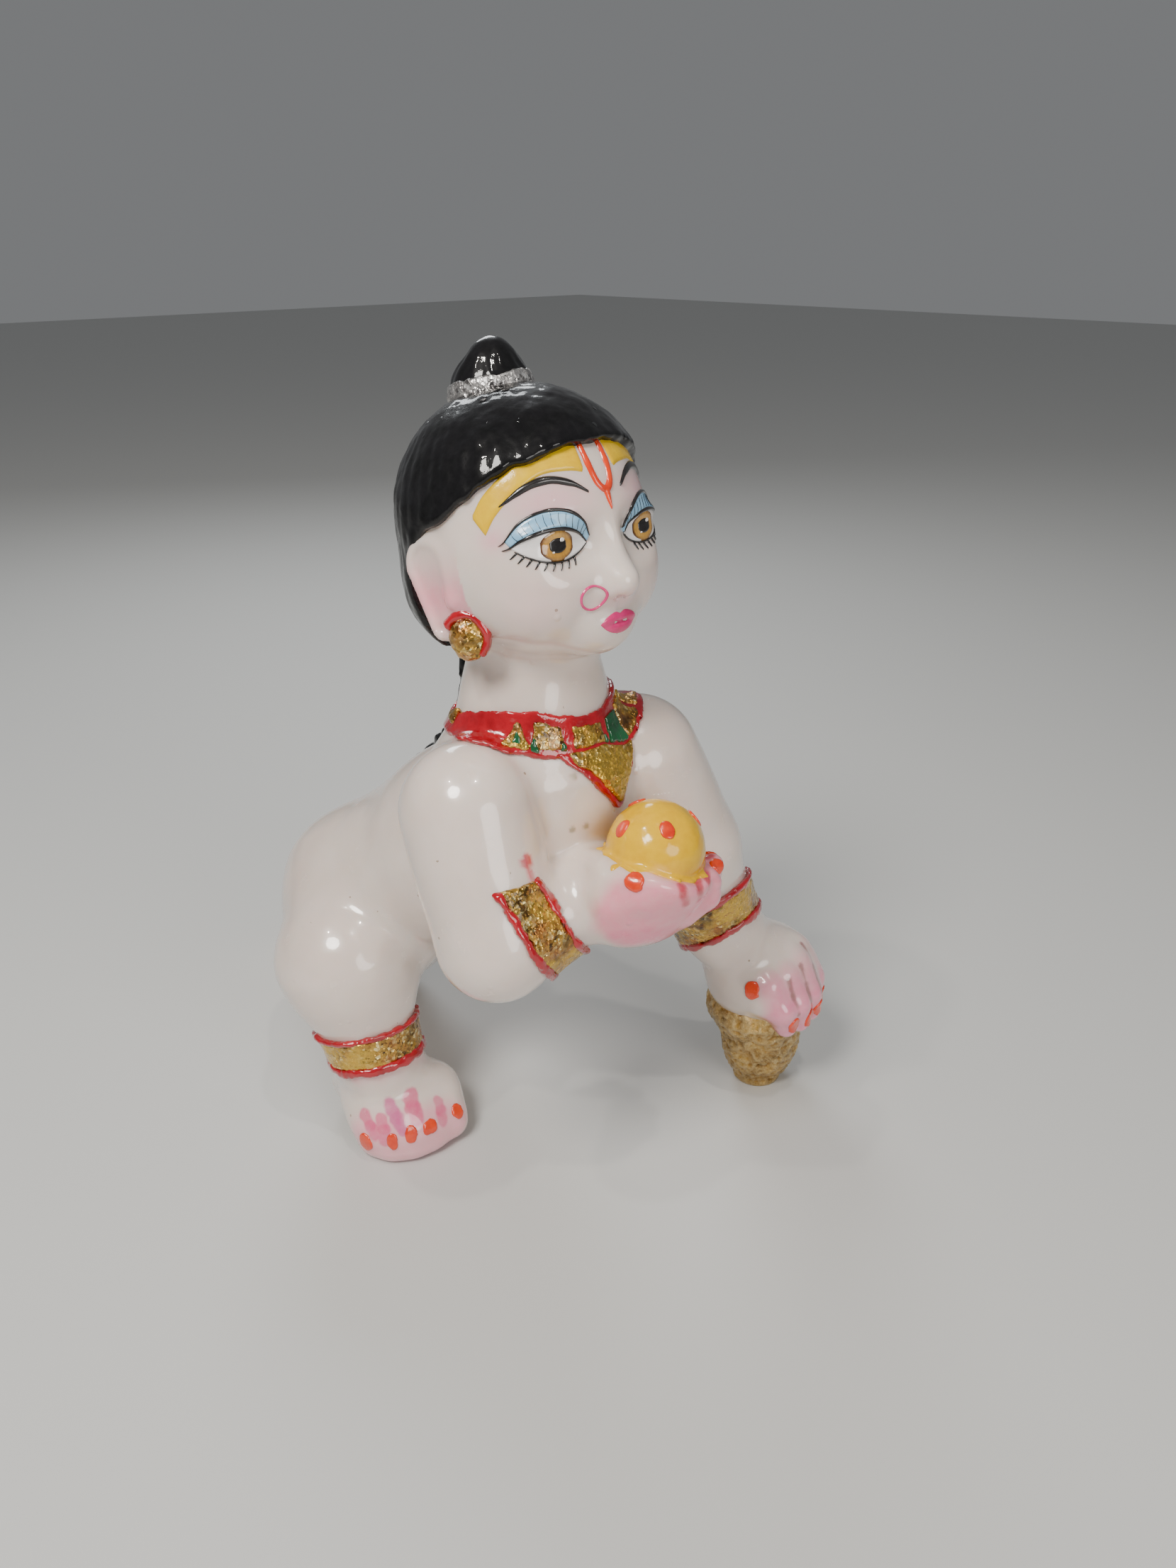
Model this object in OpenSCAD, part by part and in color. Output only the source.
// Crawling child-deity figurine: one polished cast-marble casting with raised
// ornaments, enamel coats, a sweet held in the right hand and a gilt rest under
// the left. Millimetres, +Z up, the figure faces -Y, its right hand is at -X.

/* [Figure] */
// Height from the table to the tip of the topknot
figure_h = 102; // [70:1:150]
// Segments round each rounded form
facets = 22; // [20:2:32]

/* [Head] */
// Width of the skull without the hair
skull_w = 25.2; // [24:0.2:26.4]
// Depth of the skull, brow to nape
skull_d = 26.6; // [25.6:0.2:27.6]
// Thickness of the black hair coat
hair_t = 0.9; // [0.6:0.1:1.2]
// Height of the topknot above its tie
topknot_h = 5.2; // [4:0.2:6]

/* [Limbs] */
// Radius of the neck
neck_r = 7.7; // [7:0.1:8.2]
// Radius of the upper arms
arm_r = 6.5; // [6:0.1:7]
// Radius of the forearms at the bangles
wrist_r = 5; // [4.6:0.1:5.4]
// Radius of the right ankle
ankle_r = 5.2; // [4.9:0.1:5.8]

/* [Ornaments] */
// Relief of the gold bands above the skin
relief_t = 0.5; // [0.4:0.05:0.8]
// Extra relief of the red rims above the gold
rim_t = 0.2; // [0.1:0.05:0.3]
// Width of a bangle without its rims
bangle_w = 3.4; // [3:0.2:4.6]
// Width of an anklet without its rims
anklet_w = 3.8; // [3:0.2:4.4]
// Width of a red rim
rim_w = 0.9; // [0.7:0.1:1.2]
// Height of the collar band up the slope
collar_w = 4; // [3.4:0.1:4.4]
// Number of gold dabs on the collar
collar_panels = 7; // [4:1:7]
// Thickness of a brushed enamel coat
paint_t = 0.16; // [0.14:0.02:0.24]

/* [Held pieces] */
// Radius of the round sweet in the right hand
sweet_r = 5.5; // [5:0.1:5.8]
// Radius of the rest's foot
rest_foot_r = 3.6; // [3.2:0.1:4.2]

/* [Hidden] */
base_h = 102;
k = figure_h / base_h;
shift = [-6.6, -21.78, 0];
big = 60;

// landmarks of the skeleton
head_c = [0, 2.2, 84.6];         // skull centre
head_tilt = 7;                   // the head looks up a little
sk = [0, 0, 0];                  // skull, in the head's own frame
jaw = [0, -3.4, -7.2];           // jaw, in the head's own frame
sh_r = [-12.8, -2.4, 54.4];      // shoulders
sh_l = [11.4, -4.8, 54];
el_r = [-14.4, -8.2, 41];        // right elbow
wr_r = [-4.2, -11.2, 43.8];      // right wrist
pa_r = [0.2, -16.2, 43.2];       // right palm
el_l = [17.3, -8.2, 41];         // left arm
wr_l = [23.1, -9.6, 27.8];
hd_l = [28, -12, 20.2];
hip_r = [-6.2, 27.6, 29.4];
hip_l = [5.8, 27.8, 29.2];
kn_r = [-15.2, 21, 25.6];
an_r = [-15, 17, 12.8];
he_r = [-13.4, 22.2, 5];
to_r = [-14.4, 13.2, 3.9];
kn_l = [3.8, 44.6, 8];
an_l = [5, 55.4, 7.4];
he_l = [5.4, 59.2, 6.2];
to_l = [5.8, 64.4, 3.3];
sweet_c = [0.9, -17.6, 50.2];
neck_c = [0, 0.8, 62];
// directions of the limbs that carry rings
d_fore = [0.76, -0.46, 0.457];
d_arm_l = [0.17, -0.53, -0.83];
d_shin = [-0.03, -0.27, -0.962];
d_shin_l = [1.2, 10.8, -1.2];
p_bangle_r = [-9.26, -10.05, 42.84];
p_bangle_l = [21.6, -11.3, 31.2];
p_anklet_r = [-15.1, 17.6, 14.7];
p_anklet_l = [4.8, 53, 7.7];

// a round form at p
module bead(p, r, g = 0) translate(p) sphere(r = r + g, $fn = r > 4 ? facets : 12);
// an egg form, half sizes s, turned by a
module egg(p, s, g = 0, a = [0, 0, 0])
    hull() translate(p) rotate(a) scale([s[0] + g, s[1] + g, s[2] + g]) sphere(r = 1, $fn = max(s) > 4 ? facets : max(s) > 1.2 ? 14 : 10);
// a tapered limb between two round ends
module limb(p, r, q, t, g = 0) hull() { bead(p, r, g); bead(q, t, g); }
// turns +Z onto direction d, at point p
module aim(p, d)
    translate(p) rotate([0, acos(d[2] / norm(d)), atan2(d[1], d[0])]) children();
// a flat slab of thickness w and radius r across direction d
module slab(p, d, w, r = 11) aim(p, d) cylinder(h = w, r = r, center = true, $fn = 40);
// a wall-to-wall prism along Y from outline pts in X and Z, on the front side
module front_cut(pts) rotate([90, 0, 0]) linear_extrude(height = 40) polygon(pts);
function mirror_x(pts) = [for (i = [len(pts) - 1:-1:0]) [-pts[i][0], pts[i][1]]];

module head_pose() translate(head_c) rotate([-head_tilt, 0, 0]) children();
module skull_own(g = 0) {
    hull() {
        egg(sk, [skull_w / 2, skull_d / 2, 12.3], g);
        egg(jaw, [11, 10.2, 8.9], g);
        egg([0, -9.6, -11.8], [4, 3, 2.8], g);
    }
}
module skull(g = 0) head_pose() skull_own(g);
module face_features() head_pose() {
    hull() { bead([0, -13.1, -3], 1.1); bead([0, -14.8, -7.2], 1.45); }
    for (s = [-1, 1]) egg([s * 1.5, -13.4, -7.8], [1.1, 1.2, 0.9]);
    egg([0, -12.3, -10.6], [2.6, 1.3, 0.8]);
    egg([0, -12.1, -11.6], [2.2, 1.3, 0.8]);
}
module ears(g = 0) head_pose()
    for (s = [-1, 1]) {
        hull() {
            egg([s * 12.3, 0.8, -4.2], [1.4, 2.9, 3.4], g, [0, 0, -s * 10]);
            egg([s * 11.4, -0.6, -9.2], [1.2, 2, 2.2], g, [0, 0, -s * 18]);
        }
    }
module neck(g = 0) {
    limb([0, 1, 58], neck_r + 0.6, [0, 0.6, 72], neck_r - 0.4, g);
    hull() { egg([0, 0.8, 64.4], [8.2, 8.2, 3], g); egg([0, 0.4, 57], [11.6, 10.2, 4.6], g); }
}
module torso(g = 0) {
    hull() { egg([-7.4, 0.6, 53.4], [8.6, 7.6, 8.2], g); egg([7.6, -1, 53.4], [8.6, 7.6, 8.2], g); }
    hull() { egg([0, 1, 51.4], [12.4, 10.4, 9.8], g); egg([0, 12, 41], [12.2, 12.2, 12.6], g); }
    hull() { bead(hip_r, 12.2, g); egg([0, 12, 41], [12, 12, 12.4], g); }
    hull() { bead(hip_l, 12.2, g); egg([0, 12, 41], [12, 12, 12.4], g); }
}
module arm_right(g = 0) {
    limb(sh_r, 7.9, el_r, arm_r, g);
    limb(el_r, arm_r - 0.1, wr_r, wrist_r, g);
    hull() { bead(wr_r, wrist_r, g); egg(pa_r, [5.8, 5.4, 4.7], g, [0, 0, -35]); }
}
// the palm cups the sweet, its lip highest on the thumb's side
module cup_right(g = 0) intersection() {
    translate([0.4, -17.8, 49.6]) sphere(r = 7.1 + g, $fn = 28);
    translate([0.9, -17.8, 48.4 + g]) rotate([0, 20, 0]) translate([-20, -20, -20]) cube([40, 40, 20]);
}
module fingers_right() {
    cup_right();
    // four fingers curl up round the far side of the sweet, the thumb the near side
    for (f = [[4.2, -12.8, 43.6, 7, -13.8, 45.4, 7.2, -14.4, 47.2], [4.6, -15.4, 42.9, 7.6, -16.8, 45, 7.8, -17.4, 47.2],
              [4.2, -18.2, 42.6, 6.7, -20.1, 44.8, 7, -20.8, 47], [2.6, -20.4, 42.8, 4.4, -22, 44.8, 4.6, -22.5, 46.4]]) {
        limb([f[0], f[1], f[2]], 1.9, [f[3], f[4], f[5]], 1.7);
        limb([f[3], f[4], f[5]], 1.7, [f[6], f[7], f[8]], 1.3);
    }
    limb([-5, -13.8, 44.8], 2.3, [-5.3, -17.2, 46.7], 2);
    limb([-5.3, -17.2, 46.7], 2, [-4.4, -20, 47.9], 1.5);
}
module arm_left(g = 0) {
    limb(sh_l, 7.9, el_l, arm_r + 0.3, g);
    limb(el_l, arm_r + 0.3, wr_l, wrist_r + 0.5, g);
    limb(wr_l, wrist_r + 0.5, hd_l, 5.6, g);
    egg([29.3, -12.9, 18.4], [8, 7.3, 6.9], g);
}
module fingers_left() {
    for (f = [[24.6, -17.6, 20.4, 25.2, -19.4, 17.2, 26.2, -19.6, 14.3], [27.2, -18, 21, 27.7, -19.9, 17.4, 28.5, -20, 14.2],
              [29.8, -17.6, 21.6, 30.5, -19.7, 17.6, 31.1, -19.8, 14.6], [32.2, -15.9, 21.6, 33.4, -18, 17.8, 33.8, -18.2, 14.6]]) {
        limb([f[0], f[1], f[2]], 1.95, [f[3], f[4], f[5]], 1.75);
        limb([f[3], f[4], f[5]], 1.75, [f[6], f[7], f[8]], 1.4);
    }
    limb([23.6, -13.4, 20.4], 2.5, [23.7, -17, 18.6], 1.9);
}
module leg_right(g = 0) {
    limb(hip_r, 11.8, kn_r, 8.9, g);
    limb(kn_r, 8.8, an_r, ankle_r, g);
    hull() { bead(an_r, ankle_r - 0.2, g); egg(he_r, [5.4, 5.4, 5.4], g); egg(to_r, [6.3, 5.4, 4.3], g, [0, 0, -21]); }
}
module toes_right()
    for (t = [[-18.5, 13.5, 1.7], [-17.6, 11, 1.8], [-15.5, 9.4, 1.9], [-12.8, 8.8, 2], [-9.6, 9, 2.5]])
        hull() { bead([t[0], t[1], t[2]], t[2]); bead([t[0] + 0.1, t[1] + 0.2, 3.4], t[2] - 0.15); bead([t[0] + 1.2, t[1] + 4.2, 5.2], t[2] + 0.2); }
module leg_left(g = 0) {
    limb(hip_l, 11.4, kn_l, 8.6, g);
    limb(kn_l, 8.4, an_l, ankle_r, g);
    hull() { bead(an_l, ankle_r - 0.2, g); egg(he_l, [5.6, 4.8, 5.6], g); egg(to_l, [5.6, 3.6, 3.6], g); }
}
module toes_left()
    for (t = [[1.4, 2], [3.9, 1.6], [6.1, 1.5], [8.2, 1.4], [10.1, 1.3]])
        hull() { bead([t[0], 65.2, 2.4], t[1]); bead([t[0], 66.6, 1.9], t[1] * 0.9); }
// everything that is poured in one casting, grown by g where coats need it
module body_form(g = 0) { skull(g); ears(g); neck(g); torso(g); arm_right(g); arm_left(g); leg_right(g); leg_left(g); }
module ground() translate([-big * 2, -big * 2, -big]) cube([big * 4, big * 4, big]);
module poured() {
    body_form();
    face_features();
    fingers_right();
    fingers_left();
    toes_right();
    toes_left();
}
module casting() difference() {
    poured();
    ground();
    translate(sweet_c) sphere(r = sweet_r + 0.03, $fn = 48);
}
// the gilt block under the left hand, before the hand is taken out of it
module rest_form() hull() {
    translate([30.4, -12.4, 0]) cylinder(r = rest_foot_r, h = 0.4, $fn = 28);
    egg([30.4, -12.5, 6.6], [5.2, 5.1, 4.4]);
    egg([29.4, -12.8, 13.6], [7.6, 6.9, 4]);
}
module hair_region() {
    // above the sloped hairline, and the whole back of the head down to the nape
    translate([0, -13, 8]) rotate([-33.8, 0, 0]) translate([-30, -30, 0]) cube([60, 60, 40]);
    translate([-30, 3.2, -13.4]) cube([60, 40, 40]);
}
module hair_raw() head_pose() intersection() { skull_own(hair_t); hair_region(); }
module hair_form() difference() { hair_raw(); casting(); }
module knot_form(g = 0) hull() {
    egg([0, 6.4, 95.4], [4.6, 4.6, 2.4], g);
    egg([0, 6.4, 92.3 + topknot_h], [4.2, 4.2, 2.3], g);
    egg([0, 6.2, base_h - 2.2], [2.1, 2.1, 2.2], g);
}
tie_d = [-0.03, 0.22, 1];
module ring_on(p, d, w, r = 9.5) difference() {
    intersection() { union() children(); slab(p, d, w, r); }
    casting();
}
module rims_on(p, d, w, r = 9.5)
    for (s = [-1, 1]) difference() {
        intersection() {
            union() children();
            translate(s * (w + rim_w) / 2 * d / norm(d)) slab(p, d, rim_w, r);
        }
        casting();
    }

// ---- enamel outlines, in X and Z on the front of the head, right side ----
eye_z = -2.4;
eye_up = [[-9.4, -0.5], [-8.2, 0.7], [-6.6, 1.45], [-5.2, 1.55], [-3.8, 1.15], [-2.4, 0.1]];
eye_dn = [[-2.4, 0.1], [-3.8, -0.85], [-5.2, -1.2], [-6.6, -1.15], [-8.2, -0.85], [-9.4, -0.5]];
lid_up = [[-9.9, -0.3], [-8.5, 1.7], [-6.7, 2.6], [-5.1, 2.7], [-3.5, 2], [-2.1, 0.4]];
function lift(pts, dz) = [for (p = pts) [p[0], p[1] + dz]];
function rev(pts) = [for (i = [len(pts) - 1:-1:0]) pts[i]];
module both(pts) { front_cut(pts); front_cut(mirror_x(pts)); }
module coat(t) difference() { head_pose() intersection() { skull_own(t); children(); } casting(); }
module round_cut(x, z, r) rotate([90, 0, 0]) translate([x, z, 0]) cylinder(h = 40, r = r, $fn = 28);

// ---- sub-parts ----
module figure_casting() color("linen") union() casting();
module hair_cap() color("black") union() hair_form();
module nape_lock() color("black") union() difference() {
    union() {
        hull() { egg([0, 10.4, 72.4], [5.4, 3.2, 2.4]); egg([0, 7.9, 66], [3.8, 1.8, 2]); }
        hull() { egg([0, 7.9, 66], [3.8, 1.8, 2]); egg([0, 10.6, 58.6], [3.4, 2, 2]); }
        hull() { egg([0, 10.6, 58.6], [3.4, 2, 2]); egg([0, 17, 52], [2.6, 1.6, 1.5]); }
        hull() { egg([0, 17, 52], [2.6, 1.6, 1.5]); egg([0, 23.6, 48.1], [0.9, 1, 0.8]); }
    }
    casting();
    hair_raw();
    collar_raw();
}
module knot() difference() { knot_form(); hair_raw(); }
module topknot() color("black") union() knot();
module topknot_tie() color("silver") union() difference() {
    intersection() { knot_form(0.35); slab([0, 6.4, 97], tie_d, 1.7); }
    knot_form();
    hair_raw();
}
module forehead_paste() color("gold") union() difference() {
    coat(paint_t) intersection() {
        translate([0, -13, 8]) rotate([-33.8, 0, 0]) translate([-30, -30, -3.9]) cube([60, 60, 3.9]);
        front_cut([[-11.2, -5], [11.2, -5], [11.2, 12], [-11.2, 12]]);
    }
    head_pose() both([[-1.6, 3], [-4.4, 4.1], [-7.6, 3.1], [-9.4, 1.4], [-9.7, 0.9], [-7.4, 1.9], [-4.4, 2.9], [-1.6, 2.3]]);
    head_pose() front_cut([[-1.8, 12], [1.8, 12], [1.8, 0.2], [-1.8, 0.2]]);
}
module forehead_mark() color("orangered") union() coat(paint_t + 0.06) difference() {
    front_cut([[-1.7, 7.8], [-1.5, 3.8], [-0.5, 1.6], [0, 0.3], [0.5, 1.6], [1.5, 3.8], [1.7, 7.8]]);
    front_cut([[-0.9, 9], [-0.8, 4], [-0.35, 3], [0.35, 3], [0.8, 4], [0.9, 9]]);
}
module eyebrows() color("black") union() coat(paint_t)
    both([[-1.8, 2.9], [-4.4, 3.9], [-7.6, 2.9], [-9.4, 1.3], [-9.4, 1.1], [-7.4, 2.1], [-4.4, 3.1], [-1.8, 2.4]]);
module eye_whites() color("white") union() difference() {
    coat(paint_t) both(lift(concat(eye_up, rev([for (i = [1:4]) eye_dn[5 - i]])), eye_z));
    for (s = [-1, 1]) round_cut(s * 5.5, eye_z + 0.15, 1.5);
}
module irises() color("goldenrod") union() difference() {
    coat(paint_t + 0.04) intersection() {
        both(lift(concat(eye_up, rev([for (i = [1:4]) eye_dn[5 - i]])), eye_z));
        for (s = [-1, 1]) round_cut(s * 5.5, eye_z + 0.15, 1.49);
    }
    for (s = [-1, 1]) round_cut(s * 5.5, eye_z + 0.2, 0.72);
}
module pupils() color("black") union() coat(paint_t + 0.06) for (s = [-1, 1]) round_cut(s * 5.5, eye_z + 0.2, 0.71);
module eyelid_enamel() color("lightblue") union() coat(paint_t)
    both(lift(concat(lid_up, rev(eye_up)), eye_z));
module lip_enamel() color("deeppink") union() difference() {
    head_pose() intersection() {
        union() { egg([0, -12.3, -10.6], [2.6, 1.3, 0.8], paint_t); egg([0, -12.1, -11.6], [2.2, 1.3, 0.8], paint_t); }
        front_cut([[-2.6, -11.05], [0, -12.4], [2.6, -11.05], [1.2, -10], [0, -10.3], [-1.2, -10]]);
    }
    casting();
}
module nose_ring_line() color("hotpink") union() coat(paint_t) difference() {
    round_cut(-3.1, -7.9, 1.35);
    round_cut(-3.1, -7.9, 1.0);
}
module earring_form(s, g) head_pose() egg([s * 11.9, -2.4, -11], [1.2, 2.1, 2.1], g, [0, 0, -s * 30]);
module earring(s) color("gold") union() difference() { earring_form(s, 0); casting(); }
module earring_right() earring(-1);
module earring_left() earring(1);
module earring_rims() color("crimson") union() for (s = [-1, 1]) difference() {
    head_pose() egg([s * 11.75, -2.3, -10.8], [0.85, 2.7, 2.65], 0, [0, 0, -s * 30]);
    casting();
    earring_form(s, 0.01);
}
collar_c = [0.4, 0.6, 50.93];   // point of the cone that the band's lower edge follows
// everything above a cone that opens upwards, lift above the band's lower edge, tipped by t
module above(lift, t = 0) translate(collar_c) translate([0, 0, lift]) rotate([-t, 0, 0]) cylinder(h = 15.4, r1 = 0, r2 = 17.5, $fn = 48);
module band_zone(lo, hi) difference() { above(lo); above(collar_w * 1.04 + hi, 7); }
module collar_base(g) { neck(g); hull() { egg([-7.4, 0.6, 53.4], [8.6, 7.6, 8.2], g); egg([7.6, -1, 53.4], [8.6, 7.6, 8.2], g); }
    hull() { egg([0, 1, 51.4], [12.4, 10.4, 9.8], g); egg([0, 12, 41], [12.2, 12.2, 12.6], g); } }
module collar_raw() intersection() { collar_base(relief_t); band_zone(0, 0); }
module collar_form() difference() { collar_raw(); casting(); }
// each dab of enamel covers an angle about the neck, from the front towards the right side
dabs_gold = [[18.4, -7.3], [45.9, 25.6], [-31.5, -49], [60.5, 50.6], [-54, -63], [104, 116], [-103, -117]];
module wedge(a) translate([0.4, 0.6, 44]) linear_extrude(height = 30)
    polygon([[0, 0], 20 * [cos(-90 - a[1]), sin(-90 - a[1])], 20 * [cos(-90 - a[0]), sin(-90 - a[0])]]);
module green_form() {
    intersection() { band_zone(0.9, -1.5); wedge([-12.9, -28.9]); }
    intersection() { band_zone(0.6, -2.5); wedge([57.6, 53.4]); }
}
module panel_form() difference() {
    intersection() { collar_base(relief_t + rim_t); children(); }
    collar_base(relief_t);
    casting();
}
module collar() color("crimson") union() collar_form();
module collar_panels() color("gold") union() panel_form() difference() {
    intersection() { band_zone(0.9, -1.5); for (i = [0:collar_panels - 1]) wedge(dabs_gold[i]); }
    green_form();
}
module collar_green_stones() color("darkgreen") union() panel_form() green_form();
module pendant_cut(g = 0) rotate([90, 0, 0]) linear_extrude(height = 40) offset(delta = g)
    polygon([[-3.8, 61], [6.4, 61], [5.9, 58.4], [4.2, 55.8], [2.6, 53.5], [1.7, 53.5], [-0.1, 55.8], [-1.7, 58], [-3.1, 58.8]]);
module pendant() color("gold") union() difference() {
    intersection() { collar_base(relief_t + rim_t); pendant_cut(); }
    casting();
    above(-0.01);
}
module pendant_rim() color("crimson") union() difference() {
    intersection() { collar_base(relief_t); pendant_cut(0.7); }
    casting();
    pendant_cut();
    above(-0.01);
}
module bent_arm(g) { limb(sh_r, 7.9, el_r, arm_r, g); limb(el_r, arm_r - 0.1, wr_r, wrist_r, g); }
module crook() translate([-60, -60, 0]) cube([120, 120, 49.5]);
module bangle_right() color("gold") union() intersection() { ring_on(p_bangle_r, d_fore, bangle_w, 10.4) bent_arm(relief_t); crook(); }
module bangle_right_rims() color("crimson") union() intersection() { rims_on(p_bangle_r, d_fore, bangle_w, 10.4) bent_arm(relief_t + rim_t); crook(); }
module bangle_left() color("gold") union() ring_on(p_bangle_l, d_arm_l, bangle_w + 0.8) limb(el_l, arm_r + 0.3, wr_l, wrist_r + 0.5, relief_t);
module bangle_left_rims() color("crimson") union() rims_on(p_bangle_l, d_arm_l, bangle_w + 0.8) limb(el_l, arm_r + 0.3, wr_l, wrist_r + 0.5, relief_t + rim_t);
module anklet_right() color("gold") union() ring_on(p_anklet_r, d_shin, anklet_w) limb(kn_r, 8.8, an_r, ankle_r, relief_t);
module anklet_right_rims() color("crimson") union() rims_on(p_anklet_r, d_shin, anklet_w) limb(kn_r, 8.8, an_r, ankle_r, relief_t + rim_t);
module anklet_left() color("gold") union() difference() { ring_on(p_anklet_l, d_shin_l, anklet_w) limb(kn_l, 8.4, an_l, ankle_r, relief_t); ground(); }
module anklet_left_rims() color("crimson") union() difference() { rims_on(p_anklet_l, d_shin_l, anklet_w) limb(kn_l, 8.4, an_l, ankle_r, relief_t + rim_t); ground(); }
module fingernails() color("orangered") union() difference() {
    union() {
        egg([-5.7, -21.4, 49.2], [0.8, 0.8, 0.9]);
        for (f = [[7.9, -14.5, 48.2], [8.5, -17.5, 48.2], [7.7, -21.2, 48], [5.4, -23.4, 47.2]]) egg(f, [0.6, 0.6, 0.8]);
        egg([23.3, -18.9, 18.9], [0.8, 0.7, 0.9]);
        for (f = [[26.3, -20.8, 15], [28.65, -21.2, 14.95], [31.2, -21, 15.35], [34.4, -19.25, 15.35]]) egg(f, [0.75, 0.6, 0.9]);
    }
    casting();
}
module toenails() color("orangered") union() difference() {
    union() {
        for (t = [[-19.9, 12.1, 4.2], [-18.5, 9.8, 4.4], [-15.9, 8.1, 4.5], [-12.9, 7.3, 4.6], [-9.3, 6.9, 4.7]]) egg(t, [0.75, 0.8, 0.95]);
        for (t = [[1.4, 67.6, 3], [3.9, 67.6, 2.5], [6.1, 67.5, 2.4], [8.2, 67.4, 2.3], [10.1, 67.3, 2.2]]) egg(t, [0.6, 0.6, 0.6]);
    }
    casting();
    ground();
}
module sweet() color("yellow") translate(sweet_c) sphere(r = sweet_r, $fn = 64);
module sweet_spots() color("orangered") union() difference() {
    for (d = [[-0.32, -0.585, 0.745], [-0.73, 0.23, 0.645], [0.78, -0.35, 0.52], [0.1, 0.62, 0.78], [0.82, 0.45, 0.35]])
        aim(sweet_c, d) hull() { translate([0, 0, sweet_r - 0.5]) cylinder(r = 0.85, h = 0.5, $fn = 16); translate([0, 0, sweet_r + 0.02]) cylinder(r = 0.55, h = 0.1, $fn = 16); }
    translate(sweet_c) sphere(r = sweet_r + 0.01, $fn = 64);
    casting();
}
module hand_rest() color("darkgoldenrod") union() difference() { rest_form(); poured(); }

module place() scale(k) translate(shift) children();
place() figure_casting();
place() hair_cap();
place() nape_lock();
place() topknot();
place() topknot_tie();
place() forehead_paste();
place() forehead_mark();
place() eyebrows();
place() eye_whites();
place() eyelid_enamel();
place() irises();
place() pupils();
place() lip_enamel();
place() nose_ring_line();
place() earring_right();
place() earring_left();
place() earring_rims();
place() collar();
place() collar_panels();
place() collar_green_stones();
place() pendant();
place() pendant_rim();
place() bangle_right();
place() bangle_right_rims();
place() bangle_left();
place() bangle_left_rims();
place() anklet_right();
place() anklet_right_rims();
place() anklet_left();
place() anklet_left_rims();
place() fingernails();
place() toenails();
place() sweet();
place() sweet_spots();
place() hand_rest();
